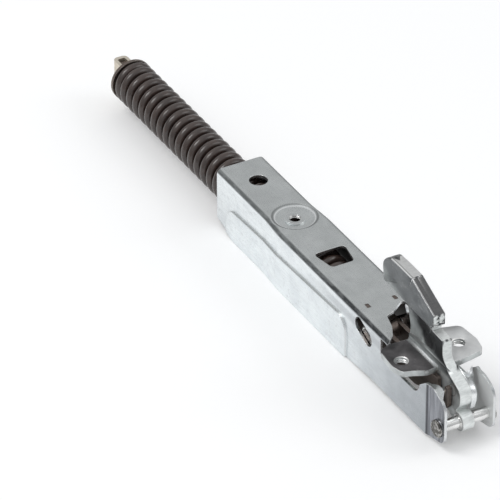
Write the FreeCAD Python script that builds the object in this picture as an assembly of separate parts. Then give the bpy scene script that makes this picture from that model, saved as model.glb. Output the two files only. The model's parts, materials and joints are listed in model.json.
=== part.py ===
import FreeCAD, Part
import math
import os

from FreeCAD import Vector

os.makedirs("parts", exist_ok=True)

# Oven door hinge, millimetres.
# X runs along the hinge to its pivot end, Y across it, Z up.
# The origin is midway between the two screw holes of the arm's ears, on the ears' upper faces.

# Folded housing
sheet = 1.2
fold_radius = 1.2
web_top = 1.0
rear_x = -156.0
front_x = 31.5
rear_width = 22.6
front_width = 24.6
nose_width = 23.6
kink_start_x = -115.0
kink_end_x = -102.0
joggle_start_x = 17.8
joggle_end_x = 20.2
floor_z = -26.4
mouth_bottom_z = -22.8
mouth_taper_end_x = -141.0
belly_front_x = -48.0
throat_bottom_z = -24.6
throat_start_x = -27.0

# Pressed side panels of the housing
panel_rise = 0.8
panel_rear_x = -147.0
panel_front_x = -45.0
panel_top_rear_z = -12.0
panel_top_front_z = -7.6
panel_corner_radius = 7.0

# Holes of the web
locating_hole_x = -140.4
locating_hole_d = 8.0
boss_x = -109.3
boss_d = 20.0
boss_depth = 1.6
boss_floor_d = 13.0
insert_bore_d = 5.2
insert_d = 7.4
insert_flange_d = 8.8
insert_flange = 0.6
window_rear_x = -81.2
window_front_x = -69.2
window_rear_half = 7.4
window_front_half = 5.3
window_radius = 2.0

# Lances of the web, which lock the spring's seat
lance_x = -38.4
lance_y = 6.3
lance_length = 3.0
lance_width = 1.8

# Slot of the web for the arm
slot_left_front_x = -12.4
slot_left_y = -8.1
slot_nose_x = -30.0
slot_right_rear_x = -36.0
slot_right_y = 8.6
slot_right_front_x = -19.0

# Cut-outs of the side walls; the ear swings clear of the step ahead of its cut-out
ear_cut_rear_x = -18.0
ear_cut_front_x = 12.8
ear_cut_bottom_z = -9.4
ear_step_x = 17.2
ear_step_drop = 3.4
slot_drop = 0.9
kidney_x = -31.5
kidney_z = -5.6
kidney_length = 14.0
kidney_width = 7.0
kidney_tilt = -22.0

# Arm: two plates side by side, each with a screw ear
arm_plate = 2.6
ear_plate = 2.6
ear_hole_spacing = 26.5
ear_hole_d = 5.0
ear_rear_x = -11.5
ear_front_x = 11.5
ear_left_reach = 18.4
ear_right_reach = 20.9
ear_left_tip_x = 7.6
ear_right_tip_x = 9.4
neck_recess = 0.5
neck_rear_x = -12.5
neck_front_x = 12.8
neck_top_z = 15.0
blade_tip_x = -29.4
blade_bottom_z = 16.0
blade_top_z = 30.3
blade_back_x = 8.8
blade_bend_x = -5.2

# Main pivot
pivot_x = 26.8
pivot_z = -16.5
pivot_pin_d = 5.0
pivot_head_d = 7.6
pivot_head_height = 1.4
pivot_head_chamfer = 0.5
pivot_clearance = 0.05
bush_d = 6.4
bush_length = 5.6
arm_eye_radius = 4.1

# Link pin in the arm, which draws the tie strips
link_radius = 12.2
link_angle = -54.0
link_pin_d = 4.0
link_head_d = 6.0
link_head_height = 0.8

# Tie strips and their front cheeks
strip_thickness = 1.8
strip_bore_clearance = 0.37
cheek_gap = 0.35
cheek_top_z = -5.2
hook_top_z = -3.0
hook_bottom_z = -13.5
hook_wall = 2.6
cheek_spread_start_x = -57.0
cheek_spread_end_x = -48.0
hook_front_clearance = 0.35
hook_rear_clearance = 1.15
hook_end_clearance = 0.5

# Rivets of the tie strips
rivet_d = 3.0
rivet_head_d = 4.6
rivet_head_height = 0.6
rivet_front_setback = 40.0
rivet_rear_setback = 30.0

# Spring
spring_od = 19.6
spring_web_clearance = 0.3
wire_d = 4.0
spring_pitch = 5.45
spring_front_x = -63.4
spring_turns = 34.5
closed_turns = 1.0
closed_coil_gap = 0.1
steps_per_turn = 10
wire_sides = 6

# Front seat of the spring
seat_plate = 2.0
seat_washer = 1.2
seat_slot_clearance = 0.4
seat_roof_front_x = -41.0

# Rear end of the spring
cup_thickness = 1.5
cup_lip = 3.0
cup_clearance = 0.2
clip_thickness = 1.5
clip_length = 11.0
clip_half_height = 5.6
clip_fold_radius = 0.8
clip_pin_setback = 5.2
clip_wing = 3.2

# Guide discs on the cheeks, behind the oblong holes of the walls
guide_x = -31.5
guide_z = -8.6
guide_pin_d = 4.0
guide_disc_d = 8.6
guide_sleeve_d = 7.0
side_clearance = 0.3
fit_clearance = 0.01


def arc_corner(before, corner, after, radius):
    into = (corner - before).normalize()
    out = (after - corner).normalize()
    half_turn = into.getAngle(out) / 2
    setback = radius * math.tan(half_turn)
    start = corner - into * setback
    end = corner + out * setback
    inward = (out - into).normalize()
    centre = corner + inward * (radius / math.cos(half_turn))
    middle = centre - inward * radius
    return start, middle, end


def outline(corners, plane):
    """A closed face from (u, v, radius) corners; plane is xz or xy."""
    points = []
    for corner in corners:
        u, v = corner[0], corner[1]
        points.append(Vector(u, 0, v) if plane == "xz" else Vector(u, v, 0))
    edges = []
    first = None
    last = None
    count = len(points)
    for i, corner in enumerate(corners):
        before = points[i] - points[i - 1]
        after = points[(i + 1) % count] - points[i]
        turns = before.getAngle(after) > 1e-4
        radius = corner[2] if len(corner) > 2 and turns else 0
        if radius:
            start, middle, end = arc_corner(points[i - 1], points[i], points[(i + 1) % count], radius)
        else:
            start = end = points[i]
        if last is not None and (start - last).Length > 1e-6:
            edges.append(Part.LineSegment(last, start).toShape())
        if radius:
            edges.append(Part.Arc(start, middle, end).toShape())
        if first is None:
            first = start
        last = end
    if (first - last).Length > 1e-6:
        edges.append(Part.LineSegment(last, first).toShape())
    return Part.Face(Part.Wire(edges))


def across(corners, y_low, y_high):
    """A side-view outline, extruded across the hinge."""
    face = outline(corners, "xz")
    face.translate(Vector(0, y_low, 0))
    return face.extrude(Vector(0, y_high - y_low, 0))


def upright(corners, z_low, z_high):
    """A plan outline, extruded upwards."""
    face = outline(corners, "xy")
    face.translate(Vector(0, 0, z_low))
    return face.extrude(Vector(0, 0, z_high - z_low))


def post(x, y, z_low, z_high, diameter):
    return Part.makeCylinder(diameter / 2, z_high - z_low, Vector(x, y, z_low))


def axle(x, z, y_low, y_high, diameter):
    return Part.makeCylinder(diameter / 2, y_high - y_low, Vector(x, y_low, z), Vector(0, 1, 0))


def rod(x_low, x_high, z, diameter):
    return Part.makeCylinder(diameter / 2, x_high - x_low, Vector(x_low, 0, z), Vector(1, 0, 0))


def mirrored(shape):
    return shape.mirror(Vector(0, 0, 0), Vector(0, 1, 0))


def channel_block(offset, x_low, x_high, z_low, z_high, radius):
    """The housing's plan, grown sideways by offset, with its long upper edges rounded."""
    rear = rear_width / 2 + offset
    front = front_width / 2 + offset
    nose = nose_width / 2 + offset
    plan = [
        (x_low, -rear),
        (kink_start_x, -rear),
        (kink_end_x, -front),
        (joggle_start_x, -front),
        (joggle_end_x, -nose),
        (x_high, -nose),
        (x_high, nose),
        (joggle_end_x, nose),
        (joggle_start_x, front),
        (kink_end_x, front),
        (kink_start_x, rear),
        (x_low, rear),
    ]
    block = upright(plan, z_low, z_high)
    long_edges = []
    for edge in block.Edges:
        box = edge.BoundBox
        if box.ZMin > z_high - 1e-6 and box.XLength > 1e-6 and box.XLength > box.YLength:
            long_edges.append(edge)
    return block.makeFillet(radius, long_edges)


def panel_outline(inset):
    rise = (panel_top_front_z - panel_top_rear_z) / (panel_front_x - panel_rear_x)
    return [
        (panel_rear_x + inset, floor_z - 10),
        (panel_rear_x + inset, panel_top_rear_z - inset + rise * inset, panel_corner_radius - inset),
        (panel_front_x - inset, panel_top_front_z - inset - rise * inset, panel_corner_radius - inset),
        (panel_front_x - inset, floor_z - 10),
    ]


def make_housing():
    deep = floor_z - 12
    wide = front_width
    outer = channel_block(0, rear_x, front_x, deep, web_top, fold_radius + sheet)
    inner = channel_block(-sheet, rear_x - 5, front_x + 5, deep - 5, web_top - sheet, fold_radius)
    outer_panel = channel_block(panel_rise, rear_x, front_x, deep, web_top, fold_radius + sheet)
    inner_panel = channel_block(panel_rise - sheet, rear_x, front_x, deep - 5, web_top, fold_radius)
    pressed_out = outer_panel.common(across(panel_outline(0), -wide, wide))
    pressed_in = inner_panel.common(across(panel_outline(sheet), -wide, wide))
    shell = outer.fuse(pressed_out).cut(inner.fuse(pressed_in))

    side = [
        (rear_x, web_top + 5),
        (rear_x, mouth_bottom_z, 1.0),
        (mouth_taper_end_x, floor_z, 4.0),
        (belly_front_x, floor_z, 10.0),
        (throat_start_x, throat_bottom_z, 10.0),
        (pivot_x - 8.0, throat_bottom_z, 3.0),
        (front_x, pivot_z - 5.5, 4.5),
        (front_x, web_top - 4.6, 6.5),
        (pivot_x - 6.0, web_top - 0.8, 2.0),
        (pivot_x - 8.5, web_top + 5),
    ]
    shell = shell.common(across(side, -wide, wide))

    slot = [
        (slot_nose_x + 1.5, -3.2, 0.8),
        (slot_nose_x + 9.0, -5.2, 2.0),
        (slot_left_front_x - 3.0, slot_left_y, 2.0),
        (slot_left_front_x, -wide / 2 + 1.0),
        (slot_left_front_x, -wide),
        (front_x + 5, -wide),
        (front_x + 5, wide),
        (slot_right_front_x, wide),
        (slot_right_front_x, slot_right_y, 2.0),
        (slot_right_rear_x, slot_right_y, 1.5),
        (slot_nose_x, 0.8, 0.6),
    ]
    wall_top_z = web_top - sheet - fold_radius + slot_drop
    shell = shell.cut(upright(slot, wall_top_z, web_top + 5))

    ear_cut = [
        (ear_cut_rear_x, web_top - sheet - 0.6),
        (ear_cut_rear_x, ear_cut_bottom_z, 3.0),
        (ear_cut_front_x, ear_cut_bottom_z, 5.5),
        (ear_cut_front_x, wall_top_z - ear_step_drop, 1.0),
        (ear_step_x, wall_top_z, 3.0),
        (ear_step_x + 4, wall_top_z),
        (ear_step_x + 4, web_top + 5),
        (ear_rear_x - 1.0, web_top + 5),
        (ear_rear_x - 1.0, web_top - sheet - 0.6, 0.5),
    ]
    shell = shell.cut(across(ear_cut, -wide, wide))

    kidney = across(
        [
            (-kidney_length / 2, kidney_width / 2, kidney_width / 2 - 0.01),
            (-kidney_length / 2, -kidney_width / 2, kidney_width / 2 - 0.01),
            (kidney_length / 2, -kidney_width / 2, kidney_width / 2 - 0.01),
            (kidney_length / 2, kidney_width / 2, kidney_width / 2 - 0.01),
        ],
        -wide,
        wide,
    )
    kidney.rotate(Vector(0, 0, 0), Vector(0, 1, 0), -kidney_tilt)
    kidney.translate(Vector(kidney_x, 0, kidney_z))
    shell = shell.cut(kidney)

    window = [
        (window_rear_x, -window_rear_half, window_radius),
        (window_front_x, -window_front_half, window_radius),
        (window_front_x, window_front_half, window_radius),
        (window_rear_x, window_rear_half, window_radius),
    ]
    shell = shell.cut(upright(window, web_top - 3, web_top + 3))
    shell = shell.cut(post(locating_hole_x, 0, web_top - 4, web_top + 4, locating_hole_d))

    # The round dish, pressed down out of the web
    dish_low = web_top - boss_depth
    dish_outer = Part.makeCone(
        boss_floor_d / 2 + sheet, boss_d / 2 + sheet * 0.4, boss_depth, Vector(boss_x, 0, dish_low - sheet)
    )
    dish_inner = Part.makeCone(
        boss_floor_d / 2, boss_d / 2, boss_depth, Vector(boss_x, 0, dish_low)
    )
    shell = shell.fuse(dish_outer).cut(dish_inner)
    shell = shell.cut(post(boss_x, 0, web_top - 10, web_top + 5, insert_d + 0.04))

    # Two small lances ahead of the window, which lock the spring's seat
    for y in (-lance_y, lance_y):
        place = Vector(lance_x - lance_length / 2, y - lance_width / 2, web_top - sheet - 1)
        shell = shell.cut(Part.makeBox(lance_length, lance_width, sheet + 2, place))

    # Pivot holes in both walls
    shell = shell.cut(axle(pivot_x, pivot_z, -wide, wide, pivot_pin_d + 0.04))
    return shell.removeSplitter()


housing = make_housing()

# Threaded insert, clinched in the floor of the dish
dish_floor_z = web_top - boss_depth
threaded_insert = post(boss_x, 0, dish_floor_z - sheet, dish_floor_z, insert_d)
threaded_insert = threaded_insert.fuse(
    post(boss_x, 0, dish_floor_z, dish_floor_z + insert_flange, insert_flange_d)
)
threaded_insert = threaded_insert.cut(post(boss_x, 0, -20, 5, insert_bore_d)).removeSplitter()

# Spring, wound about the strips: a six-sided wire of the round wire's area, in straight steps
wire_corner = wire_d / 2 * math.sqrt(2 * math.pi / (wire_sides * math.sin(2 * math.pi / wire_sides)))
spring_radius = spring_od / 2 - wire_corner
closed_pitch = 2 * wire_corner + closed_coil_gap
spring_bore = 2 * (spring_radius * math.cos(math.pi / steps_per_turn) - wire_corner)
strip_axis_z = web_top - boss_depth - sheet - spring_web_clearance - spring_od / 2
strip_height = 2 * math.sqrt((spring_bore / 2 - strip_bore_clearance) ** 2 - strip_thickness ** 2)


def coil_pitch(turn):
    """Closed at both ends, with half a turn between the closed and the open pitch."""
    from_end = min(turn, spring_turns - turn)
    share = min(max((from_end - closed_turns) / 0.5, 0.0), 1.0)
    return closed_pitch + (spring_pitch - closed_pitch) * share


def make_spring():
    count = round(spring_turns * steps_per_turn)
    points = []
    along = 0.0
    for i in range(count + 1):
        turn = i / steps_per_turn
        angle = 2 * math.pi * turn
        points.append(Vector(along, spring_radius * math.cos(angle), spring_radius * math.sin(angle)))
        along += coil_pitch(turn + 0.5 / steps_per_turn) / steps_per_turn
    length = points[-1].x
    first_step = (points[1] - points[0]).normalize()
    radial = Vector(0, 1, 0)
    sideways = first_step.cross(radial).normalize()
    outward = sideways.cross(first_step).normalize()
    ring = []
    for i in range(wire_sides):
        turn = 2 * math.pi * i / wire_sides
        ring.append(points[0] + outward * (wire_corner * math.cos(turn)) + sideways * (wire_corner * math.sin(turn)))
    faces = [Part.Face(Part.makePolygon(ring + [ring[0]]))]
    for i in range(count):
        step = (points[i + 1] - points[i]).normalize()
        if i + 1 < count:
            following = (points[i + 2] - points[i + 1]).normalize()
        else:
            following = step
        plane = (step + following).normalize()
        moved = []
        for corner in ring:
            reach = (points[i + 1] - corner).dot(plane) / step.dot(plane)
            moved.append(corner + step * reach)
        for j in range(wire_sides):
            k = (j + 1) % wire_sides
            faces.append(Part.Face(Part.makePolygon([ring[j], ring[k], moved[k], moved[j], ring[j]])))
        ring = moved
    faces.append(Part.Face(Part.makePolygon(ring + [ring[0]])))
    shell = Part.Shell(faces)
    shell.sewShape()
    solid = Part.Solid(Part.Shell(shell.Faces))
    if solid.Volume < 0:
        solid = solid.reversed()
    return solid, length


spring, coil_length = make_spring()
spring.translate(Vector(spring_front_x - wire_corner - coil_length, 0, strip_axis_z))
spring_rear_x = spring_front_x - coil_length - 2 * wire_corner

# Tie strips: close together inside the spring, apart around the arm
cheek_y = arm_plate + cheek_gap
clip_rear_x = spring_rear_x - cup_thickness - clip_length
strip_rear_x = clip_rear_x + 2.5
link_x = pivot_x + link_radius * math.sin(math.radians(link_angle))
link_z = pivot_z + link_radius * math.cos(math.radians(link_angle))
hook_rear_x = link_x - link_pin_d / 2 - hook_rear_clearance
hook_front_x = link_x + link_pin_d / 2 + hook_front_clearance
hook_half = (hook_front_x - hook_rear_x) / 2
cheek_front_x = hook_front_x + hook_wall


def make_strip():
    t = strip_thickness
    plan = [
        (strip_rear_x, 0),
        (cheek_spread_start_x, 0, 2.5),
        (cheek_spread_end_x, cheek_y, 4.0),
        (cheek_front_x, cheek_y),
        (cheek_front_x, cheek_y + t),
        (cheek_spread_end_x - 0.4, cheek_y + t, 2.5),
        (cheek_spread_start_x - 0.4, t, 4.0),
        (strip_rear_x, t),
    ]
    half = strip_height / 2
    cheek_bottom_z = strip_axis_z - half
    hook_floor_z = link_z - link_pin_d / 2 - hook_end_clearance
    side = [
        (strip_rear_x, strip_axis_z - half),
        (cheek_spread_start_x, strip_axis_z - half, 8.0),
        (cheek_spread_end_x, cheek_bottom_z),
        (link_x - 20.0, cheek_bottom_z, 8.0),
        (link_x - 12.5, hook_bottom_z, 8.0),
        (cheek_front_x, hook_bottom_z, 2.6),
        (cheek_front_x, hook_top_z, 1.2),
        (hook_front_x, hook_top_z, 0.6),
        (hook_front_x, hook_floor_z, hook_half - 0.4),
        (hook_rear_x, hook_floor_z, hook_half - 0.4),
        (hook_rear_x, hook_top_z, 0.8),
        (link_x - 9.0, hook_top_z, 4.0),
        (link_x - 14.0, cheek_top_z, 4.0),
        (cheek_spread_end_x, cheek_top_z),
        (cheek_spread_start_x, strip_axis_z + half, 8.0),
        (strip_rear_x, strip_axis_z + half),
    ]
    body = upright(plan, strip_axis_z - 20, strip_axis_z + 30).common(across(side, -1, cheek_y + t + 1))
    body = body.cut(axle(guide_x, guide_z, -1, cheek_y + t + 1, guide_pin_d + 0.02))
    for x in rivet_xs:
        body = body.cut(axle(x, strip_axis_z, -1, cheek_y + t + 1, rivet_d + 0.02))
    return body


rivet_xs = (spring_front_x - rivet_front_setback, spring_rear_x + rivet_rear_setback)
tie_strip_right = make_strip()
tie_strip_left = mirrored(tie_strip_right)

strip_rivets = []
for x in rivet_xs:
    shank = axle(x, strip_axis_z, -strip_thickness, strip_thickness, rivet_d)
    head = axle(x, strip_axis_z, strip_thickness, strip_thickness + rivet_head_height, rivet_head_d)
    strip_rivets.append(shank.fuse([head, mirrored(head)]).removeSplitter())
strip_rivets = Part.makeCompound(strip_rivets)

# Front seat: a washer against a folded bracket that hangs under the web
seat_back_x = spring_front_x + seat_washer
seat_half = front_width / 2 - sheet - 0.05
roof_z = web_top - sheet
strip_pass_half_y = strip_thickness + seat_slot_clearance
strip_pass_half_z = strip_height / 2 + seat_slot_clearance
seat_low_z = strip_axis_z - spring_od / 2 - 1.0

washer_disc = rod(spring_front_x, seat_back_x, strip_axis_z, spring_od - 0.4)
strip_pass = Part.makeBox(
    60, 2 * strip_pass_half_y, 2 * strip_pass_half_z,
    Vector(spring_front_x - 20, -strip_pass_half_y, strip_axis_z - strip_pass_half_z),
)
seat_washer_ring = washer_disc.cut(strip_pass)

seat_wall = Part.makeBox(
    seat_plate, 2 * seat_half, roof_z - seat_low_z, Vector(seat_back_x, -seat_half, seat_low_z)
)
corner_relief = fold_radius + 0.3
for sign in (-1, 1):
    relief = Part.makeBox(seat_plate + 2, corner_relief, corner_relief,
                          Vector(seat_back_x - 1, sign * seat_half - corner_relief / 2, roof_z - corner_relief))
    relief.translate(Vector(0, -sign * corner_relief / 2 + 0.0, 0))
    seat_wall = seat_wall.cut(relief)
seat_roof = Part.makeBox(
    seat_roof_front_x - seat_back_x + 5.0, 2 * (seat_half - corner_relief), 1.6,
    Vector(seat_back_x, -(seat_half - corner_relief), roof_z - 1.6),
)
seat_legs = []
for sign in (-1, 1):
    leg = Part.makeBox(6.0, 1.6, 16.0, Vector(seat_back_x + seat_plate, -0.8, roof_z - 18.0))
    leg.translate(Vector(0, sign * (seat_half - 0.8), 0))
    seat_legs.append(leg)
lugs = []
for y in (-lance_y, lance_y):
    place = Vector(lance_x - lance_length / 2 + 0.1, y - lance_width / 2 + 0.1, roof_z - 0.5)
    lugs.append(Part.makeBox(lance_length - 0.2, lance_width - 0.2, 0.5 + sheet - 0.2, place))
spring_seat = seat_wall.fuse([seat_roof] + seat_legs + lugs).cut(strip_pass).removeSplitter()

# Rear cup, which the last coil sits in
cup_x = spring_rear_x
cup_disc = rod(cup_x - cup_thickness, cup_x, strip_axis_z, spring_od)
cup_collar = rod(cup_x, cup_x + cup_lip, strip_axis_z, spring_bore - 2 * cup_clearance)
cup_collar = cup_collar.cut(
    Part.makeBox(cup_lip, 2 * strip_thickness + 0.1, spring_od,
                 Vector(cup_x, -strip_thickness - 0.05, strip_axis_z - spring_od / 2))
)
strip_pass_rear = Part.makeBox(
    30, 2 * strip_thickness + 0.1, strip_height + 0.1,
    Vector(cup_x - 15, -strip_thickness - 0.05, strip_axis_z - strip_height / 2 - 0.05),
)
rear_cup = cup_disc.fuse(cup_collar).cut(strip_pass_rear).removeSplitter()

# End clip: a strip folded over the ends of the tie strips, with two wings
clip_front_x = cup_x - cup_thickness
clip_y = strip_thickness + clip_thickness
clip_plan = [
    (clip_front_x, strip_thickness),
    (clip_front_x, strip_thickness + clip_wing + clip_thickness),
    (clip_front_x - clip_thickness, strip_thickness + clip_wing + clip_thickness),
    (clip_front_x - clip_thickness, clip_y, 1.0),
    (clip_rear_x, clip_y, 2.2),
    (clip_rear_x, -clip_y, 2.2),
    (clip_front_x - clip_thickness, -clip_y, 1.0),
    (clip_front_x - clip_thickness, -strip_thickness - clip_wing - clip_thickness),
    (clip_front_x, -strip_thickness - clip_wing - clip_thickness),
    (clip_front_x, -strip_thickness),
    (strip_rear_x - clip_fold_radius, -strip_thickness, clip_fold_radius),
    (strip_rear_x - clip_fold_radius, strip_thickness, clip_fold_radius),
]
end_clip = upright(clip_plan, strip_axis_z - clip_half_height, strip_axis_z + clip_half_height)
clip_pin_x = clip_front_x - clip_pin_setback
end_clip = end_clip.cut(axle(clip_pin_x, strip_axis_z, -8, 8, rivet_d + 0.02))
tie_hole = axle(clip_pin_x, strip_axis_z, -8, 8, rivet_d + 0.02)
tie_strip_right = tie_strip_right.cut(tie_hole)
tie_strip_left = tie_strip_left.cut(tie_hole)
clip_pin = axle(clip_pin_x, strip_axis_z, -clip_y, clip_y, rivet_d)
for sign in (-1, 1):
    head = axle(clip_pin_x, strip_axis_z, -0.35, 0.35, rivet_d + 1.8)
    head.translate(Vector(0, sign * (clip_y + 0.35), 0))
    clip_pin = clip_pin.fuse(head)
clip_pin = clip_pin.removeSplitter()


def make_arm_plate(ear_reach, ear_tip_x):
    """The right-hand plate: blade, neck, lower arm with its eye, and the ear bent outwards."""
    profile = [
        (blade_tip_x, blade_bottom_z, 1.6),
        (blade_tip_x - 0.3, blade_bottom_z + 9.4, 7.0),
        (blade_tip_x + 3.6, blade_top_z - 0.4, 5.0),
        (blade_tip_x + 12.0, blade_top_z, 12.0),
        (blade_bend_x, blade_top_z - 2.0, 2.0),
        (blade_back_x, blade_bottom_z + 1.6, 0.8),
        (blade_back_x - 0.4, blade_bottom_z - 0.4, 0.5),
        (4.6, blade_bottom_z - 0.8, 0.6),
        (4.8, neck_top_z - 1.4, 0.6),
        (neck_front_x, neck_top_z - 1.8, 0.8),
        (neck_front_x + 0.3, 5.0, 5.0),
        (pivot_x - 6.0, 0.8, 5.0),
        (pivot_x + 1.4, -2.4, 4.5),
        (pivot_x + 0.8, -8.6, 4.0),
        (pivot_x - 2.6, pivot_z + 3.8, 1.2),
        (pivot_x + 2.2, pivot_z + 1.4),
        (pivot_x - 2.2, pivot_z - 3.0),
        (pivot_x - 7.6, pivot_z + 1.0, 3.0),
        (link_x - 4.6, link_z - 4.6, 4.2),
        (link_x - 6.4, -3.4, 3.0),
        (neck_rear_x + 0.5, -2.6, 1.0),
        (neck_rear_x, 0.0, 2.0),
        (neck_rear_x + 0.8, 6.0, 6.0),
        (neck_rear_x - 2.0, blade_bottom_z - 0.6, 1.5),
    ]
    plate = across(profile, 0, arm_plate)
    plate = plate.fuse(axle(pivot_x, pivot_z, 0, arm_plate, 2 * arm_eye_radius)).removeSplitter()
    # The neck is coined thinner than the blade
    recess = [
        (neck_rear_x - 8.0, blade_bottom_z - 0.4),
        (4.8, neck_top_z - 0.3),
        (neck_front_x + 4, neck_top_z + 1.0),
        (neck_front_x + 4, 2.6),
        (neck_rear_x - 8.0, 2.6),
    ]
    plate = plate.cut(across(recess, arm_plate - neck_recess, arm_plate + 1))
    # The ear leaves the neck's foot, level with the top of the housing
    hole_y = ear_hole_spacing / 2
    ear_plan = [
        (ear_rear_x, arm_plate - neck_recess, 0),
        (ear_rear_x - 0.6, hole_y - 1.0, 4.0),
        (ear_rear_x + 1.6, ear_reach - 1.0, 3.5),
        (1.5, ear_reach, 5.0),
        (ear_tip_x - 0.6, ear_reach - 1.5, 2.6),
        (ear_tip_x + 0.6, hole_y - 0.5, 6.0),
        (ear_front_x - 0.8, hole_y - 5.5, 4.0),
        (ear_front_x - 1.0, arm_plate - neck_recess, 0),
    ]
    ear = upright(ear_plan, -ear_plate, 0)
    bend = across(
        [(ear_rear_x, -ear_plate), (ear_front_x - 1, -ear_plate), (ear_front_x - 1, 2.4), (ear_rear_x, 2.4)],
        arm_plate - neck_recess, arm_plate - neck_recess + 2.4,
    )
    hollow = Part.makeCylinder(
        2.4, 60, Vector(-30, arm_plate - neck_recess + 2.4, 2.4), Vector(1, 0, 0)
    )
    bend = bend.cut(hollow)
    plate = plate.fuse([ear, bend])
    plate = plate.cut(post(0, hole_y, -10, 5, ear_hole_d))
    sink = Part.makeCone(ear_hole_d / 2, ear_hole_d / 2 + 0.5, 0.5, Vector(0, hole_y, -0.5))
    plate = plate.cut(sink)
    plate = plate.cut(axle(pivot_x, pivot_z, -1, 10, bush_d + 0.04))
    plate = plate.cut(axle(link_x, link_z, -1, 10, link_pin_d + 0.04))
    for x, z in arm_rivet_places:
        plate = plate.cut(axle(x, z, -1, 10, arm_rivet_d + 0.02))
    return plate.removeSplitter()


arm_rivet_d = 4.0
arm_rivet_places = ((1.5, 6.2), (-16.0, 22.5), (21.5, -4.6))
arm_plate_right = make_arm_plate(ear_right_reach, ear_right_tip_x)
arm_plate_left = mirrored(make_arm_plate(ear_left_reach, ear_left_tip_x))

arm_rivets = []
for x, z in arm_rivet_places:
    in_neck = z > 2.6 and z < blade_bottom_z
    half = arm_plate - (neck_recess if in_neck else 0)
    shank = axle(x, z, -half, half, arm_rivet_d)
    arm_rivets.append(shank)
arm_rivets = Part.makeCompound(arm_rivets)

# Pivot pin through both walls, with a bush in the arm's eye
wall_y = nose_width / 2
pivot_pin = axle(pivot_x, pivot_z, -wall_y, wall_y, pivot_pin_d)
for sign in (-1, 1):
    head = axle(pivot_x, pivot_z, -pivot_head_height / 2, pivot_head_height / 2, pivot_head_d)
    head.translate(Vector(0, sign * (wall_y + pivot_head_height / 2), 0))
    pivot_pin = pivot_pin.fuse(head)
pivot_pin = pivot_pin.removeSplitter()
rim = [e for e in pivot_pin.Edges if abs(abs(e.BoundBox.YMin) - wall_y - pivot_head_height) < 1e-4
       and e.BoundBox.YLength < 1e-6]
pivot_pin = pivot_pin.makeChamfer(pivot_head_chamfer, rim)
pivot_bush = axle(pivot_x, pivot_z, -bush_length / 2, bush_length / 2, bush_d)
pivot_bush = pivot_bush.cut(axle(pivot_x, pivot_z, -20, 20, pivot_pin_d + 2 * pivot_clearance))

# Link pin in the arm
cheek_outer_y = cheek_y + strip_thickness
link_reach = cheek_outer_y + cheek_gap
link_pin = axle(link_x, link_z, -link_reach, link_reach, link_pin_d)
for sign in (-1, 1):
    head = axle(link_x, link_z, -link_head_height / 2, link_head_height / 2, link_head_d)
    head.translate(Vector(0, sign * (link_reach + link_head_height / 2), 0))
    link_pin = link_pin.fuse(head)
link_pin = link_pin.removeSplitter()

# Guide pin through the cheeks, with a disc at each side and a sleeve between them
guide_reach = front_width / 2 - sheet - side_clearance
guide_pin = axle(guide_x, guide_z, -guide_reach, guide_reach, guide_pin_d)
guide_bore = axle(guide_x, guide_z, -20, 20, guide_pin_d + 2 * fit_clearance)
guide_disc_right = axle(guide_x, guide_z, cheek_outer_y, guide_reach, guide_disc_d).cut(guide_bore)
guide_disc_left = mirrored(guide_disc_right)
guide_sleeve = axle(guide_x, guide_z, -cheek_y, cheek_y, guide_sleeve_d).cut(guide_bore)

nodes = {
    "housing": housing,
    "threaded_insert": threaded_insert,
    "spring": spring,
    "spring_seat": spring_seat,
    "seat_washer": seat_washer_ring,
    "tie_strip_left": tie_strip_left,
    "tie_strip_right": tie_strip_right,
    "strip_rivets": strip_rivets,
    "rear_cup": rear_cup,
    "end_clip": end_clip,
    "clip_pin": clip_pin,
    "arm_plate_left": arm_plate_left,
    "arm_plate_right": arm_plate_right,
    "arm_rivets": arm_rivets,
    "pivot_pin": pivot_pin,
    "pivot_bush": pivot_bush,
    "link_pin": link_pin,
    "guide_pin": guide_pin,
    "guide_sleeve": guide_sleeve,
    "guide_disc_left": guide_disc_left,
    "guide_disc_right": guide_disc_right,
}

for name, shape in nodes.items():
    shape.exportStep("parts/" + name + ".step")
    box = shape.BoundBox
    print("%-20s solids %d valid %s volume %9.1f  x %.1f %.1f  y %.1f %.1f  z %.1f %.1f" % (
        name, len(shape.Solids), shape.isValid(), shape.Volume,
        box.XMin, box.XMax, box.YMin, box.YMax, box.ZMin, box.ZMax))
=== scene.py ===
import json
import math

import bmesh
import bpy
import numpy as np
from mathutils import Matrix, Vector


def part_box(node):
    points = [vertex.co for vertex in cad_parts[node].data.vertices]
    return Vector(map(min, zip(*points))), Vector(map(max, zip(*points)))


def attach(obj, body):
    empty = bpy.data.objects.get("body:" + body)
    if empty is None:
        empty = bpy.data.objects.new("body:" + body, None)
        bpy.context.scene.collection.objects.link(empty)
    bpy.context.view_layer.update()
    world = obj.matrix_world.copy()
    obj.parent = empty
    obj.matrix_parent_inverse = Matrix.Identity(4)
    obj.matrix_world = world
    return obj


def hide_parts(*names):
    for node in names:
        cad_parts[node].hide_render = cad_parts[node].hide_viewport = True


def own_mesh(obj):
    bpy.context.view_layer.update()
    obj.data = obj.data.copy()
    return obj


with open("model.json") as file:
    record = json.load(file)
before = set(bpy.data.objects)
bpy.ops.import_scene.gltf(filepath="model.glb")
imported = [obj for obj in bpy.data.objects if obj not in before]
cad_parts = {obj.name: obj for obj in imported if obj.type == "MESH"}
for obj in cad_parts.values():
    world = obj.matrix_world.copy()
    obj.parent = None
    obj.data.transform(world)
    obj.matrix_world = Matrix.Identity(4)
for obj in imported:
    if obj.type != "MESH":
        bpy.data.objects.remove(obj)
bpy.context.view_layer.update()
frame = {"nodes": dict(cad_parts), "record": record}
nodes = frame["nodes"]
MM = 0.001

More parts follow.
